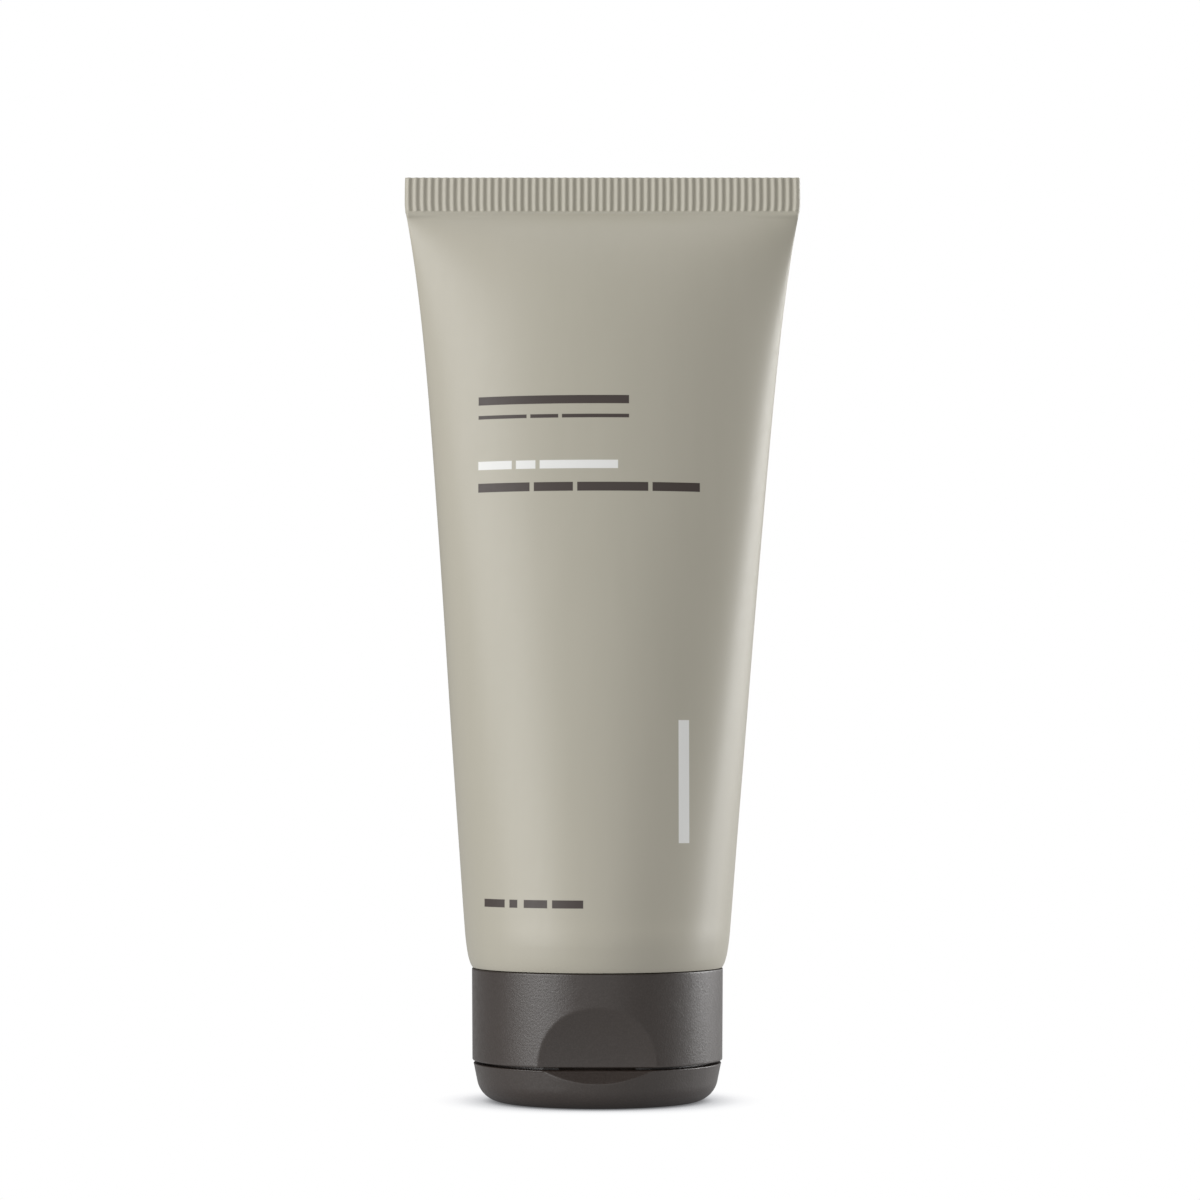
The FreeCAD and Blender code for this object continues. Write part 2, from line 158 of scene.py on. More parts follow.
def slab(w, t, half, corner=0.42):
    """Flat welded end: rounded rectangle, in the same order as resample()."""
    u = np.linspace(0, 1, half + 1)
    x = -w + 2 * w * u
    edge = w - np.abs(x)
    k = np.clip(edge / corner, 0, 1)
    y = t * np.sqrt(np.clip(1 - (1 - k) ** 2, 0, 1))
    front = np.stack([x, -y], 1)[:-1]
    back = np.stack([-x, y], 1)[:-1]
    return np.concatenate([front, back])


def lean(z):
    return 1.0 * smooth(20.0, 190.0, z)


def sleeve_rows():
    """Rows of the outer skin from the foot rim to the top edge, in mm."""
    zs = list(np.linspace(26.45, 31.2, 20)) + list(np.linspace(31.6, 150.0, 96)[0:]) + list(np.linspace(151.0, 166.0, 22)) + list(np.linspace(166.5, 171.5, 19))
    rows = []
    for z in zs:
        a, b, s = width(z), depth(z), sharp(z)
        sec = resample(outline(a, b, s), HALF)
        # the walls run into the welded end: near it the section turns into the slab
        w = smooth(170.6, 171.75, z)
        if w > 0:
            flat = slab(width(z), max(0.5, b), HALF)
            sec = sec * (1 - w) + flat * w
        rows.append(np.column_stack([sec, np.full(len(sec), z)]))
    rib = np.concatenate([-SEAL_W + 2 * SEAL_W * np.arange(HALF) / HALF, SEAL_W - 2 * SEAL_W * np.arange(HALF) / HALF])
    pitch = 2 * SEAL_W / RIBS
    wave = -np.cos(2 * np.pi * (rib + SEAL_W) / pitch)
    fade = np.clip((SEAL_W - np.abs(rib)) / (0.5 * pitch), 0, 1)
    side = np.concatenate([-np.ones(HALF), np.ones(HALF)])
    top = [171.82, 171.9, 171.97, 172.03, 172.09, 172.15, 172.22, 172.35, 172.7, 173.4, 174.4, 175.2, 176.0, 176.8, 177.5, 178.0, 178.3, 178.45, 178.55, 178.6]
    for z in top:
        w = SEAL_W - 0.14 * (1 - smooth(171.8, 173.6, z)) - 0.05 * smooth(176.5, 178.6, z)
        t = SEAL_T + 0.10 * (1 - smooth(171.7, 172.2, z))
        sec = slab(w, t, HALF)
        amp = RIB_A * smooth(171.88, 172.22, z)
        sec[:, 1] += side * wave * fade * amp
        edge = 0.1 * smooth(178.3, 178.6, z) ** 2
        sec[:, 1] -= np.sign(sec[:, 1]) * np.minimum(edge, np.abs(sec[:, 1]) * 0.3)
        rows.append(np.column_stack([sec, np.full(len(sec), z)]))
    return rows


def inner_rows():
    """Rows of the inner skin, from the foot rim up to where the walls are welded."""
    rows = []
    for z in list(np.linspace(26.45, 31.2, 7)) + list(np.linspace(34.0, 160.0, 26)) + list(np.linspace(163.0, 169.8, 5)):
        a, b = width(z) - 0.5, max(0.2, depth(z) - 0.5)
        sec = resample(outline(a, b, sharp(z)), HALF)
        rows.append(np.column_stack([sec, np.full(len(sec), z)]))
    return rows


def grid_faces(rows, cols, flip=False):
    i = np.arange(rows - 1)[:, None] * cols
    j = np.arange(cols)[None, :]
    k = (j + 1) % cols
    q = np.stack([i + j, i + k, i + cols + k, i + cols + j], -1).reshape(-1, 4)
    return q[:, ::-1] if flip else q


def make(name, verts, faces, smooth_angle=None, body=None, mat=None, slot=None, replaces=()):
    me = bpy.data.meshes.new(name)
    me.from_pydata([tuple(v) for v in (np.asarray(verts, float) - (0, 0, DATUM)) * MM], [], [tuple(int(i) for i in f) for f in faces])
    me.validate()
    me.update()
    ob = bpy.data.objects.new(name, me)
    bpy.context.scene.collection.objects.link(ob)
    for p in me.polygons:
        p.use_smooth = True
    if smooth_angle is not None:
        me.set_sharp_from_angle(angle=math.radians(smooth_angle))
    if mat:
        me.materials.append(mat)
    if body:
        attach(ob, body)
    if replaces:
        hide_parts(*replaces)
    return ob


# ------------------------------------------------------------------ node helpers
class Nodes:
    def __init__(self, name):
        self.mat = bpy.data.materials.new(name)
        self.mat.use_nodes = True
        self.t = self.mat.node_tree
        self.t.nodes.clear()
        self.out = self.t.nodes.new("ShaderNodeOutputMaterial")
        self.bsdf = self.t.nodes.new("ShaderNodeBsdfPrincipled")
        self.t.links.new(self.bsdf.outputs[0], self.out.inputs[0])
        self.coord = self.t.nodes.new("ShaderNodeTexCoord").outputs["Object"]

    def link(self, a, b):
        self.t.links.new(a, b)

    def put(self, sock, v):
        if isinstance(v, bpy.types.NodeSocket):
            self.link(v, sock)
        else:
            sock.default_value = v

    def math(self, op, a, b=0.0, c=0.0, clamp=False):
        n = self.t.nodes.new("ShaderNodeMath")
        n.operation = op
        n.use_clamp = clamp
        for s, v in zip(n.inputs, (a, b, c)):
            self.put(s, v)
        return n.outputs[0]

    def xyz(self):
        n = self.t.nodes.new("ShaderNodeSeparateXYZ")
        self.link(self.coord, n.inputs[0])
        return n.outputs

    def mapped(self, scale=(1, 1, 1), loc=(0, 0, 0)):
        n = self.t.nodes.new("ShaderNodeMapping")
        n.inputs["Scale"].default_value = scale
        n.inputs["Location"].default_value = loc
        self.link(self.coord, n.inputs[0])
        return n.outputs[0]

    def noise(self, scale, detail=3.0, rough=0.5, vec=None):
        n = self.t.nodes.new("ShaderNodeTexNoise")
        n.inputs["Scale"].default_value = scale
        n.inputs["Detail"].default_value = detail
        n.inputs["Roughness"].default_value = rough
        self.link(vec if vec is not None else self.coord, n.inputs["Vector"])
        return n.outputs["Fac"]

    def voronoi(self, scale, vec=None, feature="F1"):
        n = self.t.nodes.new("ShaderNodeTexVoronoi")
        n.feature = feature
        n.inputs["Scale"].default_value = scale
        self.link(vec if vec is not None else self.coord, n.inputs["Vector"])
        return n.outputs["Distance"]

    def remap(self, v, a, b, c, d, kind="LINEAR"):
        n = self.t.nodes.new("ShaderNodeMapRange")
        n.interpolation_type = kind
        for s, x in zip(n.inputs, (v, a, b, c, d)):
            self.put(s, x)
        return n.outputs[0]

    def ramp(self, v, stops):
        n = self.t.nodes.new("ShaderNodeValToRGB")
        e = n.color_ramp.elements
        e[0].position, e[0].color = stops[0][0], (*stops[0][1], 1)
        e[1].position, e[1].color = stops[-1][0], (*stops[-1][1], 1)
        for p, c in stops[1:-1]:
            k = e.new(p)
            k.color = (*c, 1)
        self.link(v, n.inputs[0])
        return n.outputs[0]

    def mix(self, f, a, b, blend="MIX"):
        n = self.t.nodes.new("ShaderNodeMix")
        n.data_type = "RGBA"
        n.blend_type = blend
        self.put(n.inputs[0], f)
        for s, v in ((n.inputs[6], a), (n.inputs[7], b)):
            self.put(s, (*v, 1) if isinstance(v, tuple) and len(v) == 3 else v)
        return n.outputs[2]

    def bump(self, height, strength, dist, normal=None):
        n = self.t.nodes.new("ShaderNodeBump")
        n.inputs["Strength"].default_value = strength
        n.inputs["Distance"].default_value = dist
        self.link(height, n.inputs["Height"])
        if normal is not None:
            self.link(normal, n.inputs["Normal"])
        return n.outputs[0]

    def set(self, **kw):
        for k, v in kw.items():
            self.put(self.bsdf.inputs[k.replace("_", " ")], v)


def box_mask(n, x, z, x0, x1, z0, z1, soft=0.06):
    """1 inside a rectangle given in mm from the datum, on the object's own x and z in metres."""
    cx, cz = (x0 + x1) / 2 * MM, ((z0 + z1) / 2 - DATUM) * MM
    hx, hz = (x1 - x0) / 2 * MM, (z1 - z0) / 2 * MM
    e = soft * MM
    dx = n.math("ABSOLUTE", n.math("SUBTRACT", x, cx))
    dz = n.math("ABSOLUTE", n.math("SUBTRACT", z, cz))
    d = n.math("MAXIMUM", n.math("SUBTRACT", dx, hx), n.math("SUBTRACT", dz, hz))
    return n.remap(d, -e, e, 1.0, 0.0, "SMOOTHSTEP")


# ------------------------------------------------------------------ materials
INK = (0.058, 0.045, 0.040)
WHITE_INK = (0.80, 0.80, 0.78)

# generic printed marks: plain bars, no lettering. x from, x to, z from, z to (mm)
DARK_BARS = [
    (-22.6, 6.0, 133.3, 134.9),
    (-22.6, -13.4, 130.6, 131.3), (-12.7, -7.4, 130.6, 131.3), (-6.7, 6.0, 130.6, 131.3),
    (-22.6, -12.8, 116.6, 118.3), (-12.0, -4.6, 116.6, 118.3), (-3.8, 9.6, 116.6, 118.3), (10.4, 19.4, 116.6, 118.3),
    (-21.2, -17.3, 38.4, 39.9), (-16.4, -14.9, 38.4, 39.9), (-13.7, -9.3, 38.4, 39.9), (-8.4, -2.6, 38.4, 39.9),
]
WHITE_BARS = [
    (-22.6, -16.2, 120.9, 122.5), (-15.4, -11.7, 120.9, 122.5), (-10.9, 3.9, 120.9, 122.5),
    (15.2, 17.2, 50.4, 73.4),
]


def sleeve_material():
    n = Nodes("satin_sleeve")
    x, y, z = n.xyz()[0:3]
    front = n.math("LESS_THAN", y, 0.0)
    dark = None
    for b in DARK_BARS:
        m = box_mask(n, x, z, *b)
        dark = m if dark is None else n.math("MAXIMUM", dark, m)
    dark = n.math("MULTIPLY", dark, front)
    white = None
    for b in WHITE_BARS:
        m = box_mask(n, x, z, *b)
        white = m if white is None else n.math("MAXIMUM", white, m)
    white = n.math("MULTIPLY", white, front)
    # the base: warm silver grey, clouded a little, drawn out along the extrusion
    cloud = n.noise(26.0, 3.0, 0.5, n.mapped((1.0, 1.0, 0.35)))
    streak = n.noise(420.0, 2.0, 0.5, n.mapped((1.0, 1.0, 0.03)))
    fine = n.noise(5200.0, 2.0, 0.6)
    base = n.ramp(cloud, [(0.30, (0.436, 0.413, 0.341)), (0.5, (0.450, 0.425, 0.353)), (0.70, (0.464, 0.437, 0.366))])
    base = n.mix(n.remap(streak, 0.35, 0.65, 0.0, 0.05), base, (0.53, 0.505, 0.425))
    base = n.mix(n.remap(fine, 0.35, 0.65, 0.0, 0.05), base, (0.415, 0.395, 0.32))
    col = n.mix(dark, base, INK)
    col = n.mix(white, col, WHITE_INK)
    ink = n.math("MAXIMUM", dark, white)
    rough = n.remap(n.noise(700.0, 3.0, 0.6), 0.3, 0.7, 0.36, 0.44)
    rough = n.math("ADD", rough, n.math("MULTIPLY", ink, 0.05))
    height = n.math("ADD", n.math("MULTIPLY", fine, 0.5), n.math("MULTIPLY", n.noise(1500.0, 2.0, 0.5), 0.5))
    normal = n.bump(height, 0.10, 0.00006)
    normal = n.bump(ink, 0.25, 0.00002, normal)
    n.set(Base_Color=col, Roughness=rough, Metallic=0.0, IOR=1.50, Normal=normal)
    n.bsdf.inputs["Specular IOR Level"].default_value = 0.42
    n.bsdf.inputs["Coat Weight"].default_value = 0.0
    n.bsdf.inputs["Subsurface Weight"].default_value = 0.0
    return n.mat


def cap_material():
    n = Nodes("satin_cap")
    cloud = n.noise(45.0, 3.0, 0.5)
    fine = n.noise(3000.0, 3.0, 0.65)
    spark = n.voronoi(2400.0)
    col = n.ramp(cloud, [(0.3, (0.0230, 0.0148, 0.0105)), (0.7, (0.0280, 0.0180, 0.0128))])
    col = n.mix(n.remap(fine, 0.42, 0.68, 0.0, 0.40), col, (0.054, 0.041, 0.035))
    rough = n.remap(n.noise(900.0, 3.0, 0.6), 0.3, 0.7, 0.32, 0.41)
    height = n.math("ADD", n.math("MULTIPLY", fine, 0.6), n.math("MULTIPLY", spark, 0.4))
    normal = n.bump(height, 0.55, 0.00006)
    n.set(Base_Color=col, Roughness=rough, IOR=1.50, Normal=normal)
    n.bsdf.inputs["Specular IOR Level"].default_value = 0.95
    return n.mat


def shoulder_material():
    n = Nodes("moulded_shoulder")
    col = n.ramp(n.noise(60.0, 3.0), [(0.3, (0.47, 0.455, 0.40)), (0.7, (0.52, 0.50, 0.44))])
    rough = n.remap(n.noise(1200.0, 3.0, 0.6), 0.3, 0.7, 0.34, 0.46)
    normal = n.bump(n.noise(2600.0, 2.0), 0.12, 0.00004)
    n.set(Base_Color=col, Roughness=rough, Normal=normal)
    return n.mat


def foil_material():
    n = Nodes("embossed_foil")
    cells = n.voronoi(1300.0)
    col = n.ramp(n.noise(300.0, 3.0), [(0.3, (0.72, 0.72, 0.73)), (0.7, (0.82, 0.82, 0.82))])
    rough = n.remap(n.noise(800.0, 3.0), 0.3, 0.7, 0.22, 0.36)
    normal = n.bump(cells, 0.5, 0.00008)
    n.set(Base_Color=col, Roughness=rough, Metallic=1.0, Normal=normal)
    return n.mat


def cream_material():
    n = Nodes("thick_cream")
    col = n.ramp(n.noise(70.0, 4.0), [(0.3, (0.86, 0.86, 0.82)), (0.7, (0.90, 0.90, 0.87))])
    rough = n.remap(n.noise(300.0, 3.0), 0.3, 0.7, 0.28, 0.42)
    normal = n.bump(n.noise(160.0, 4.0, 0.6), 0.35, 0.0006)
    n.set(Base_Color=col, Roughness=rough, Normal=normal)
    n.bsdf.inputs["Subsurface Weight"].default_value = 0.0
    return n.mat


SLEEVE, CAP, SHOULDER, FOIL, CREAM = sleeve_material(), cap_material(), shoulder_material(), foil_material(), cream_material()

# ------------------------------------------------------------------ sleeve
def build_sleeve():
    outer, inner = sleeve_rows(), inner_rows()
    cols = 2 * HALF
    for r in outer:
        r[:, 0] += np.array([lean(v) for v in r[:1, 2]])[0]
    for r in inner:
        r[:, 0] += lean(r[0, 2])
    # the foot rim rolls over from the outer to the inner skin
    verts = np.concatenate(outer + inner)
    faces = [grid_faces(len(outer), cols)]
    off = len(outer) * cols
    faces.append(grid_faces(len(inner), cols, flip=True) + off)
    j = np.arange(cols)
    k = (j + 1) % cols
    faces.append(np.stack([k, j, off + j, off + k], 1))
    # top edge of the crimp: front column i meets the back column above it
    base = (len(outer) - 1) * cols
    i = np.arange(0, HALF)
    f0, f1 = i, i + 1
    b0, b1 = (cols - i) % cols, (cols - i - 1) % cols
    top = [(base + f0[m], base + f1[m], base + b1[m], base + b0[m]) for m in range(1, HALF - 1)]
    top.append((base + 0, base + 1, base + cols - 1))
    top.append((base + HALF - 1, base + HALF, base + HALF + 1))
    ib = off + (len(inner) - 1) * cols
    roof = [(ib + b0[m], ib + b1[m], ib + f1[m], ib + f0[m]) for m in range(1, HALF - 1)]
    roof.append((ib + cols - 1, ib + 1, ib + 0))
    roof.append((ib + HALF + 1, ib + HALF, ib + HALF - 1))
    allf = [tuple(f) for q in faces for f in q] + top + roof
    return make("sleeve_skin", verts, allf, smooth_angle=50, body="tube", mat=SLEEVE, slot="sleeve_plastic", replaces=("tube_sleeve",))


sleeve = build_sleeve()

# ------------------------------------------------------------------ turned forms with scoop and hinge facet
CAP_Z0, CAP_Z1 = 8.85, 26.3
SCOOP_Y, SCOOP_R, LID_SCOOP_SLOPE, SCOOP_Z = 21.14, 24.3, 0.767, 8.6
FACET_Y, FACET_Z = 22.2, 13.6
KEEP_R = 16.6


def base_r(z):
    return 23.9 + 0.12 * (z - CAP_Z0) / (CAP_Z1 - CAP_Z0)


LID_Z0, LID_FOOT_R, LID_CORNER_R, LID_TAPER = 1.0, 18.3, 4.75, 11.5
BEND_Z = LID_Z0 + LID_CORNER_R * (1 - math.sin(math.radians(LID_TAPER)))
BEND_R = LID_FOOT_R + LID_CORNER_R * math.cos(math.radians(LID_TAPER))


def lid_r(z):
    if z <= BEND_Z:
        return LID_FOOT_R + math.sqrt(max(0.0, LID_CORNER_R**2 - (LID_CORNER_R - max(z - LID_Z0, 0)) ** 2))
    return BEND_R + (z - BEND_Z) * math.tan(math.radians(LID_TAPER))


def soft_min(a, b, k):
    m = np.minimum(a, b)
    return m - k * np.log(np.exp(-(a - m) / k) + np.exp(-(b - m) / k))


def limits(theta, z, base):
    """New outer radius for each angle at one height. theta 0 is the front."""
    full = base_r(z) if base else lid_r(z)
    r = np.full(theta.shape, full)
    cf = np.cos(theta)
    if base and SCOOP_Z <= z < SCOOP_Z + SCOOP_R - 0.5:
        d = SCOOP_Y + SCOOP_R - math.sqrt(SCOOP_R**2 - (z - SCOOP_Z) ** 2)
    elif not base and z > 3.0:
        d = SCOOP_Y + LID_SCOOP_SLOPE * (SCOOP_Z - z)
    else:
        d = None
    if d is not None:
        lim = np.where(cf > 0.3, d / np.maximum(cf, 0.3), 99.0)
        r = soft_min(r, lim, 0.045)
    cb = -cf
    lim = np.where(cb > 0.3, FACET_Y / np.maximum(cb, 0.3), 99.0)
    flat = soft_min(r, lim, 0.04)
    w = 1.0 - smooth(FACET_Z - 0.06, FACET_Z + 0.10, z) if base else 1.0
    return full, r * (1 - w) + flat * w


def turned(name, loop, base, body, cols=720, **kw):
    """loop is a list of (r, z) that closes on itself, or starts and ends on the axis."""
    th = 2 * np.pi * np.arange(cols) / cols
    on_axis = loop[0][0] < 1e-6
    verts, faces = [], []
    rows = []
    for r, z in loop:
        if r < 1e-6:
            rows.append(("pole", len(verts)))
            verts.append((0, 0, z))
            continue
        zz = min(max(z, CAP_Z0 if base else LID_Z0), CAP_Z1 if base else 8.35)
        full, new = limits(th, zz, base)
        rr = np.where(r > KEEP_R, KEEP_R + (r - KEEP_R) * (new - KEEP_R) / (full - KEEP_R), r)
        rows.append(("ring", len(verts)))
        # theta 0 points to -Y
        for t, q in zip(th, rr):
            verts.append((q * math.sin(t), -q * math.cos(t), z))
    n = len(rows)
    pairs = [(i, i + 1) for i in range(n - 1)] + ([] if on_axis else [(n - 1, 0)])
    for a, b in pairs:
        (ka, ia), (kb, ib) = rows[a], rows[b]
        for j in range(cols):
            k = (j + 1) % cols
            if ka == "pole":
                faces.append((ia, ib + k, ib + j))
            elif kb == "pole":
                faces.append((ia + j, ia + k, ib))
            else:
                faces.append((ia + j, ia + k, ib + k, ib + j))
    ob = make(name, verts, faces, body=body, **kw)
    fix_normals(ob)
    return ob


def fix_normals(ob):
    bm = bmesh.new()
    bm.from_mesh(ob.data)
    bmesh.ops.recalc_face_normals(bm, faces=bm.faces)
    vol = bm.calc_volume(signed=True)
    if vol < 0:
        bmesh.ops.reverse_faces(bm, faces=bm.faces)
    bm.to_mesh(ob.data)
    bm.free()


def arc(cr, cz, rad, a0, a1, n=5):
    return [(cr + rad * math.cos(math.radians(a0 + (a1 - a0) * i / n)), cz + rad * math.sin(math.radians(a0 + (a1 - a0) * i / n))) for i in range(n + 1)]


def steps(r0, z0, r1, z1, n):
    """Points between two ends, both left out."""
    return [(r0 + (r1 - r0) * i / n, z0 + (z1 - z0) * i / n) for i in range(1, n)]


def cap_loop():
    f = 0.22
    out = []
    # outer wall from the bottom edge up
    out += arc(base_r(CAP_Z0) - f, CAP_Z0 + f, f, -90, 0, 5)
    z0, z1 = CAP_Z0 + f, CAP_Z1 - f
    zs = list(np.arange(z0 + 0.22, FACET_Z - 0.12, 0.27)) + [FACET_Z - 0.08, FACET_Z - 0.04, FACET_Z + 0.0, FACET_Z + 0.04, FACET_Z + 0.09, FACET_Z + 0.14] + list(np.arange(FACET_Z + 0.32, 21.6, 0.22)) + list(np.linspace(21.9, z1 - 0.2, 10))
    out += [(base_r(z), z) for z in zs]
    out += arc(base_r(CAP_Z1) - f, CAP_Z1 - f, f, 0, 90, 5)
    # seat and inner wall
    out += [(23.0, CAP_Z1), (22.85, CAP_Z1 - 0.12), (22.6, CAP_Z1 - 0.95), (22.55, CAP_Z1 - 1.2)]
    out += steps(22.55, CAP_Z1 - 1.2, 22.55, 10.75, 24)
    out += arc(22.15, 10.75, 0.4, 0, -90, 4)
    # deck, orifice funnel, orifice, spout
    out += steps(22.15, 10.35, 4.2, 10.35, 12)
    out += [(4.25, 10.35), (4.1, 10.3), (3.05, 9.42), (3.0, 9.3), (3.0, 8.0), (3.0, 6.6), (3.06, 6.4), (3.3, 6.16), (3.5, 6.1)]
    out += arc(4.1, 6.5, 0.4, -90, 0, 4)
    out += [(4.55, 7.3), (4.72, 8.2), (4.85, 8.6), (5.1, 8.78), (5.5, CAP_Z0)]
    out += steps(5.5, CAP_Z0, 20.2, CAP_Z0, 8)
    # ring that centres the lid
    out += [(20.2, CAP_Z0), (20.35, 8.7), (20.35, 7.45), (20.45, 7.3), (20.6, 7.25), (21.15, 7.25), (21.4, 7.35), (21.52, 7.55), (21.55, 7.8), (21.55, 8.7), (21.7, CAP_Z0)]
    out += steps(21.7, CAP_Z0, base_r(CAP_Z0) - f, CAP_Z0, 5)
    return out


cap = turned("cap_shell", cap_loop(), True, "cap", smooth_angle=38, mat=CAP, slot="cap_plastic", replaces=("cap_base",))


def lid_loop():
    f = LID_Z0
    out = [(0, f + 0.25), (1.2, f + 0.25), (1.42, f + 0.24), (1.56, f + 0.12), (1.62, f + 0.03), (1.75, f)]
    out += steps(1.75, f, LID_FOOT_R, f, 8)
    n = 18
    for i in range(n + 1):
        a = math.radians(-90 + (90 - LID_TAPER) * i / n)
        out.append((LID_FOOT_R + LID_CORNER_R * math.cos(a), f + LID_CORNER_R + LID_CORNER_R * math.sin(a)))
    for z in np.arange(BEND_Z + 0.18, 8.14, 0.16):
        out.append((lid_r(z), z))
    top = lid_r(8.35)
    out += arc(top - 0.2, 8.15, 0.2, 5, 90, 5)
    out += steps(top - 0.2, 8.35, 22.15, 8.35, 4)
    out += [(22.15, 8.35), (22.08, 8.30), (22.04, 8.2), (21.95, 7.4), (21.85, 6.6), (21.7, 5.7)]
    out += arc(18.6, 5.4, 3.0, 0, -90, 12)[1:]
    out += steps(18.6, 2.4, 3.5, 2.4, 8)
    out += [(3.5, 2.4), (3.0, 2.52), (2.72, 2.9), (2.65, 3.4), (2.65, 5.6), (2.65, 8.4), (2.62, 8.9), (2.5, 9.35), (2.25, 9.62), (2.05, 9.7), (1.8, 9.7), (1.62, 9.62), (1.55, 9.4),
            (1.55, 6.0), (1.55, 3.2), (1.45, 2.75), (1.1, 2.55), (0, 2.5)]
    return out


lid = turned("lid_shell", lid_loop(), False, "lid", smooth_angle=38, mat=CAP, slot="cap_plastic", replaces=("flip_lid",))

# ------------------------------------------------------------------ threaded inner skirt and its ribs
PITCH = 3.175


def tooth(z, theta, z_start, turn0, half_base, half_tip, height, z_low, z_high):
    """Height of a helical ridge at each angle: trapezium across, faded at both ends."""
    ph = (z - z_start) / PITCH - (theta - turn0) / (2 * np.pi)
    d = (ph - np.round(ph)) * PITCH
    k = np.clip((half_base - np.abs(d)) / (half_base - half_tip), 0, 1)
    k = k * k * (3 - 2 * k)
    turn = z - d
    ends = np.clip((turn - z_low) / 0.8, 0, 1) * np.clip((z_high - turn) / 0.8, 0, 1)
    return height * k * ends


def skirt():
    cols = 288
    th = 2 * np.pi * np.arange(cols) / cols  # counter-clockwise from +X
    loop = [(13.75, 10.2, 0)] + [(13.75, z, 0) for z in np.linspace(11.0, 22.8, 10)] + [(13.7, 23.15, 0), (13.55, 23.35, 0), (13.3, 23.4, 0), (13.05, 23.3, 0), (12.6, 22.9, 0), (12.25, 22.55, 0)]
    loop += [(12.25, z, 1) for z in np.arange(22.4, 14.4, -0.2)] + [(12.25, 13.6, 0), (12.25, 12.0, 0), (12.25, 10.2, 0)]
    verts = []
    for r, z, t in loop:
        rr = np.full(cols, r)
        if t:
            rr = rr - tooth(z, th, 15.4, math.radians(270.7), 0.62, 0.32, 1.0, 15.4, 21.6)
        verts.append(np.stack([rr * np.cos(th), rr * np.sin(th), np.full(cols, z)], 1))
    verts = np.concatenate(verts)
    n = len(loop)
    faces = []
    for i in range(n):
        a, b = i * cols, ((i + 1) % n) * cols
        for j in range(cols):
            k = (j + 1) % cols
            faces.append((a + j, a + k, b + k, b + j))
    ob = make("cap_skirt", verts, faces, smooth_angle=45, body="cap", mat=CAP, slot="cap_plastic")
    fix_normals(ob)
    return ob


skirt()


def ribs():
    bm = bmesh.new()
    for k in range(8):
        a = math.radians(22.5 + 45 * k)
        pts = [(13.6, 10.2), (22.7, 10.2), (22.7, 16.4), (22.4, 17.0), (21.8, 17.2), (15.0, 17.2), (14.2, 16.9), (13.6, 16.2)]
        front = abs(math.degrees(math.atan2(math.sin(a + math.pi / 2), math.cos(a + math.pi / 2)))) < 30
        if front:
            pts = [(min(r, 20.2), z) for r, z in pts]
        if abs(math.degrees(math.atan2(math.sin(a - math.pi / 2), math.cos(a - math.pi / 2)))) < 24:
            pts = [(min(r, 21.2), z) for r, z in pts]
        rings = []
        for s in (-0.45, 0.45):
            ring = []
            for r, z in pts:
                ring.append(bm.verts.new(Vector((r * math.cos(a) - s * math.sin(a), r * math.sin(a) + s * math.cos(a), z - DATUM)) * MM))
            rings.append(ring)
        bm.faces.new(rings[0][::-1])
        bm.faces.new(rings[1])
        m = len(pts)
        for i in range(m):
            bm.faces.new((rings[0][i], rings[0][(i + 1) % m], rings[1][(i + 1) % m], rings[1][i]))
    bmesh.ops.recalc_face_normals(bm, faces=bm.faces)
    bmesh.ops.bevel(bm, geom=[e for e in bm.edges if e.calc_face_angle(0) > 1.0], offset=0.12 * MM, segments=2, affect="EDGES")
    me = bpy.data.meshes.new("cap_ribs")
    bm.to_mesh(me)
    bm.free()
    ob = bpy.data.objects.new("cap_ribs", me)
    bpy.context.scene.collection.objects.link(ob)
    me.materials.append(CAP)
    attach(ob, "cap")
    return ob


ribs()

# ------------------------------------------------------------------ living hinge
HINGE_Y, HINGE_Z = 22.2, 8.6


def web(name, x0, x1, z0, z1, node, thick=0.42, film=0.14, fold=1.15, waist=0.0):
    """Rounded strap on the facet with a thin film at the fold, as one closed mesh with many rows across the fold."""
    zs = sorted(set([z0 + 0.02, z0 + 0.1, z0 + 0.25, z0 + 0.5] + list(np.linspace(z0 + 0.8, HINGE_Z - fold - 0.1, 6)) + list(np.linspace(HINGE_Z - fold, HINGE_Z + fold, 31))
                    + list(np.linspace(HINGE_Z + fold + 0.1, z1 - 0.8, 6)) + [z1 - 0.5, z1 - 0.25, z1 - 0.1, z1 - 0.02]))
    cx, hw = (x0 + x1) / 2, (x1 - x0) / 2
    rings = []
    for z in zs:
        e = min(z - z0, z1 - z)
        corner = 0.5
        pull = corner - math.sqrt(max(0.0, corner**2 - (corner - min(e, corner)) ** 2))
        w = hw - pull - waist * (1 - smooth(0, fold * 1.6, abs(z - HINGE_Z)))
        t = film + (thick - film) * smooth(0.1, fold, abs(z - HINGE_Z))
        t *= math.sqrt(max(0.05, 1 - (1 - min(e / 0.2, 1)) ** 2)) if e < 0.2 else 1
        s = min(0.14, t * 0.6)
        sec = [(-w, -0.05), (-w, t - s), (-w + s * 0.3, t - s * 0.3), (-w + s, t), (0, t), (w - s, t), (w - s * 0.3, t - s * 0.3), (w, t - s), (w, -0.05), (0, -0.05)]
        rings.append([(cx + px, HINGE_Y + py, z) for px, py in sec])
    m = len(rings[0])
    verts = [p for r in rings for p in r]
    faces = [tuple(range(m))[::-1], tuple(range((len(rings) - 1) * m, len(rings) * m))]
    for i in range(len(rings) - 1):
        for j in range(m):
            k = (j + 1) % m
            faces.append((i * m + j, i * m + k, (i + 1) * m + k, (i + 1) * m + j))
    ob = make(name, verts, faces, smooth_angle=40, mat=CAP, slot="cap_plastic", replaces=(node,))
    fix_normals(ob)
    z = HINGE_Z - DATUM
    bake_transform(ob)
    return ob


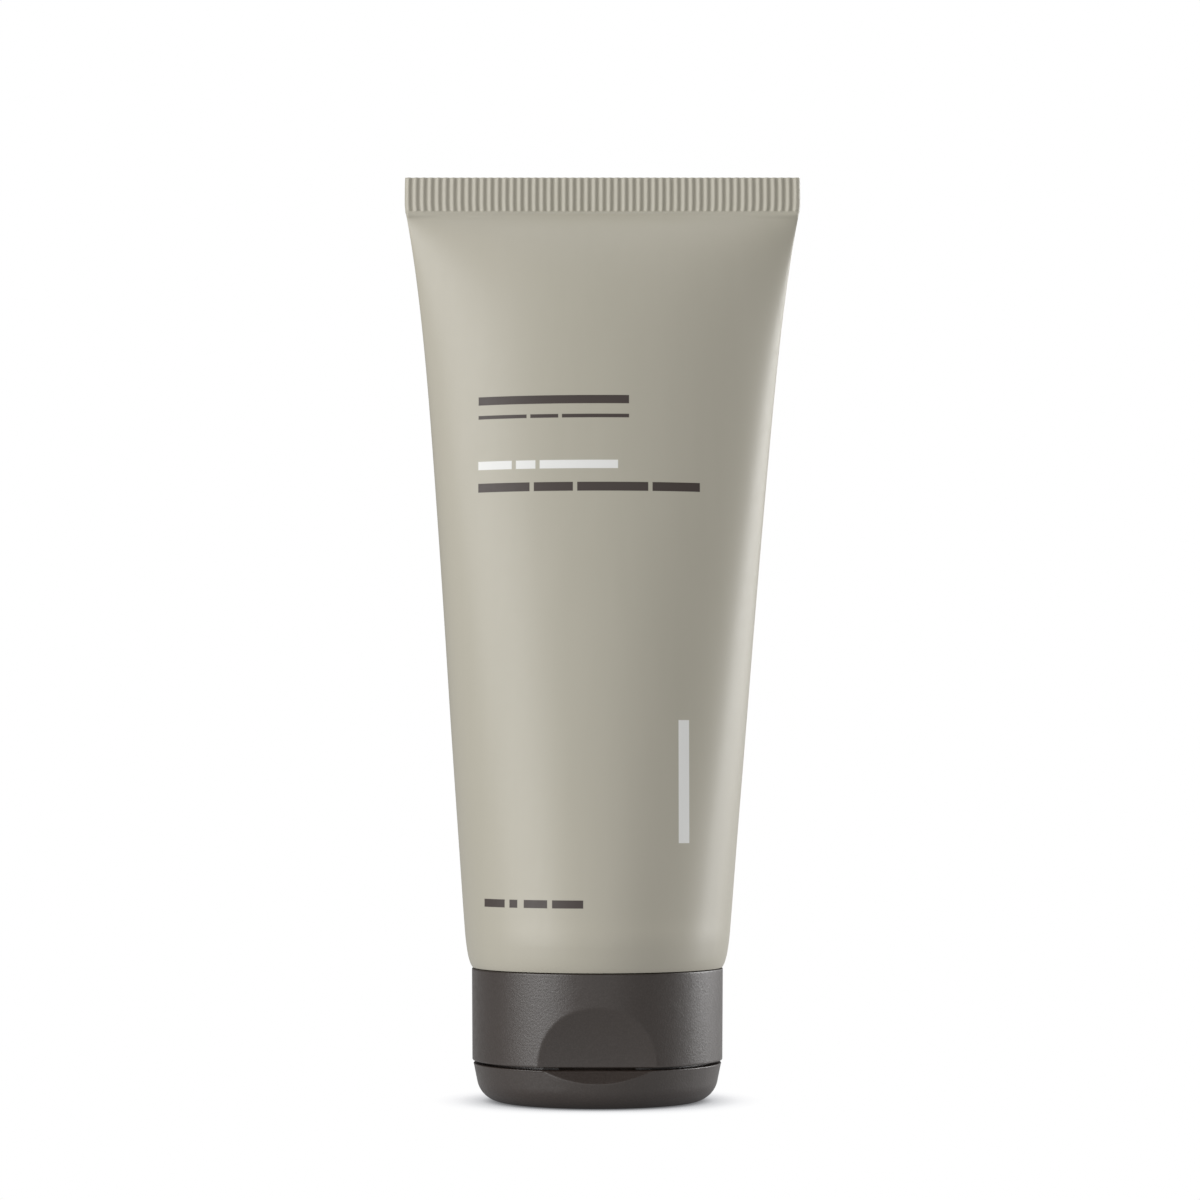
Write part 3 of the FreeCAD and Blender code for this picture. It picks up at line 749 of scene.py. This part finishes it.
web("hinge_film_left", -6.9, -4.3, 6.6, 10.6, "hinge_web_left")
web("hinge_film_right", 4.3, 6.9, 6.6, 10.6, "hinge_web_right")
web("hinge_strap", -3.7, 3.7, 4.5, 12.7, "hinge_web_centre", thick=0.6, film=0.16, waist=0.35)

# ------------------------------------------------------------------ cream
CREAM_Z = 147.6


def cream():
    cols = 96
    rows = []
    for z in [12.55, 13.5, 20.0, 25.0]:
        r = 8.5
        th = 2 * np.pi * np.arange(cols) / cols
        rows.append(np.stack([-r * np.cos(th), -r * np.sin(th), np.full(cols, z)], 1))
    for z, r in [(26.3, 9.7), (27.2, 15.5), (28.4, 22.0), (29.5, 23.1), (31.3, 24.15)]:
        th = 2 * np.pi * np.arange(cols) / cols
        rows.append(np.stack([-r * np.cos(th), -r * np.sin(th), np.full(cols, z)], 1))
    for z in [34.0] + list(np.linspace(38.0, CREAM_Z, 34)):
        sec = resample(outline(width(z) - 0.66, depth(z) - 0.66, sharp(z)), cols // 2)
        sec[:, 0] += lean(z)
        rows.append(np.column_stack([sec, np.full(len(sec), z)]))
    # the top settles into a low uneven mound
    last = rows[-1].copy()
    cx = last[:, 0].mean()
    for k, f in enumerate((0.93, 0.8, 0.62, 0.42, 0.2)):
        ring = last.copy()
        ring[:, 0] = cx + (last[:, 0] - cx) * f
        ring[:, 1] = last[:, 1] * f
        ring[:, 2] = CREAM_Z + 0.9 * math.sin(k * 1.2) * np.cos(ring[:, 0] / 7.0) * (1 - f) - (0.3 if k == 0 else 0.0)
        rows.append(ring)
    verts = list(np.concatenate(rows)) + [np.array([cx, 0, CREAM_Z + 0.2]), np.array([0, 0, 12.55])]
    faces = [tuple(f) for f in grid_faces(len(rows), cols)]
    b = (len(rows) - 1) * cols
    tip, bot = len(verts) - 2, len(verts) - 1
    for j in range(cols):
        k = (j + 1) % cols
        faces.append((b + j, b + k, tip))
        faces.append((k, j, bot))
    ob = make("cream_fill", verts, faces, smooth_angle=60, body="tube", mat=CREAM, slot="cream", replaces=("shaving_cream",))
    fix_normals(ob)
    return ob


cream()

# ------------------------------------------------------------------ nodes that stay
def dress(node, mat, angle=30):
    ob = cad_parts[node]
    if ob.material_slots:
        for s in ob.material_slots:
            s.material = mat
    else:
        ob.data.materials.append(mat)
    return ob


dress("tube_shoulder", SHOULDER)
dress("foil_seal", FOIL)
for hidden, mat in (("tube_sleeve", SLEEVE), ("shaving_cream", CREAM), ("cap_base", CAP), ("flip_lid", CAP), ("hinge_web_left", CAP), ("hinge_web_right", CAP), ("hinge_web_centre", CAP)):
    dress(hidden, mat)

# ------------------------------------------------------------------ stage
def floor():
    n = 24
    size = 3.0
    xs = np.linspace(-size, size, n)
    verts = [(x * 1000, y * 1000, DATUM - 0.03) for y in xs for x in xs]
    faces = [(j * n + i, j * n + i + 1, (j + 1) * n + i + 1, (j + 1) * n + i) for j in range(n - 1) for i in range(n - 1)]
    m = Nodes("pale_floor")
    t = m.t
    # painted contact shadow: ambient occlusion darkens the floor's colour next to the object, in its glow and in the
    # tint of its clear sheet
    ao = t.nodes.new("ShaderNodeAmbientOcclusion")
    ao.samples = 16
    ao.inputs["Distance"].default_value = 0.011
    painted_contact_shadow = m.ramp(ao.outputs["AO"], [(0.0, (0.12, 0.12, 0.125)), (0.45, (0.62, 0.625, 0.64)), (0.75, (0.93, 0.93, 0.94)), (0.92, (1.0, 1.0, 1.0))])
    # painted bounce light: strength of the floor's glow, a little uneven
    bounce_glow_strength = m.remap(m.noise(240.0, 3.0), 0.3, 0.7, 0.46, 0.48)
    # painted bounce light: the floor glows onto the object, darkened by the painted contact shadow; seen directly, it
    # is a clear sheet over the white surround, tinted by the same painted contact shadow
    glow = t.nodes.new("ShaderNodeEmission")
    m.put(glow.inputs[0], painted_contact_shadow)
    m.put(glow.inputs[1], bounce_glow_strength)
    clear = t.nodes.new("ShaderNodeBsdfTransparent")
    m.put(clear.inputs[0], painted_contact_shadow)
    path = t.nodes.new("ShaderNodeLightPath")
    through = m.math("MAXIMUM", path.outputs["Is Camera Ray"], path.outputs["Is Shadow Ray"])
    blend = t.nodes.new("ShaderNodeMixShader")
    t.links.new(through, blend.inputs[0])
    t.links.new(glow.outputs[0], blend.inputs[1])
    t.links.new(clear.outputs[0], blend.inputs[2])
    t.links.new(blend.outputs[0], m.out.inputs[0])
    ob = make("pale_floor", verts, faces, mat=m.mat)
    return ob


floor()

world = bpy.data.worlds.new("studio") if not bpy.context.scene.world else bpy.context.scene.world
bpy.context.scene.world = world
world.use_nodes = True
wt = world.node_tree
wt.nodes.clear()
wo = wt.nodes.new("ShaderNodeOutputWorld")
seen = wt.nodes.new("ShaderNodeBackground")
seen.inputs[0].default_value = (1, 1, 1, 1)
seen.inputs[1].default_value = 1.0
lit = wt.nodes.new("ShaderNodeBackground")
lit.inputs[0].default_value = (0.98, 0.99, 1.0, 1)
lit.inputs[1].default_value = 0.18
path = wt.nodes.new("ShaderNodeLightPath")
mix = wt.nodes.new("ShaderNodeMixShader")
wt.links.new(path.outputs["Is Camera Ray"], mix.inputs[0])
wt.links.new(lit.outputs[0], mix.inputs[1])
wt.links.new(seen.outputs[0], mix.inputs[2])
wt.links.new(mix.outputs[0], wo.inputs[0])


def softbox(name, azimuth, dist, height, width_m, tall_m, power, target=(0, 0, 0.09), colour=(1, 1, 1)):
    """Area light at an azimuth from the camera's side (positive to the right), aimed at the tube."""
    a = math.radians(azimuth)
    pos = Vector((dist * math.sin(a), -dist * math.cos(a), height))
    data = bpy.data.lights.new(name, "AREA")
    data.shape = "RECTANGLE"
    data.size, data.size_y = width_m, tall_m
    data.energy = power
    data.color = colour
    ob = bpy.data.objects.new(name, data)
    bpy.context.scene.collection.objects.link(ob)
    ob.location = pos
    ob.rotation_euler = (Vector(target) - pos).to_track_quat("-Z", "Y").to_euler()
    ob.visible_camera = False
    return ob


softbox("key_left", -67, 1.2, 0.25, 0.5, 1.1, 5.4)
softbox("key_front_left", -45, 1.2, 0.25, 0.5, 1.1, 6.2)
softbox("fill_front", 5, 1.3, 0.12, 0.9, 0.9, 1.8)
softbox("edge_right", 109, 1.2, 0.25, 0.5, 1.1, 11.0)
softbox("rim_right", 133, 1.2, 0.25, 0.5, 1.1, 4.0)
for lamp in (softbox("front_high", 0, 0.7, 1.15, 0.9, 0.6, 1.1), softbox("top_soft", 0, 0.05, 1.3, 0.9, 0.9, 5.8)):
    lamp.visible_glossy = False

# ------------------------------------------------------------------ camera
cam = bpy.data.cameras.new("camera")
cam.sensor_width = 36.0
cam.sensor_fit = "HORIZONTAL"
cam.lens = 36.0 * 3617.0 / 1200.0
cam.dof.use_dof = False
cam.clip_start, cam.clip_end = 0.02, 50
co = bpy.data.objects.new("camera", cam)
bpy.context.scene.collection.objects.link(co)
co.location = (0.0005, -0.6956, 0.0619)
co.rotation_euler = Euler((math.radians(90 + 2.788), 0, 0))
bpy.context.scene.camera = co
bpy.context.scene.view_settings.view_transform = "Standard"
bpy.context.scene.view_settings.look = "None"
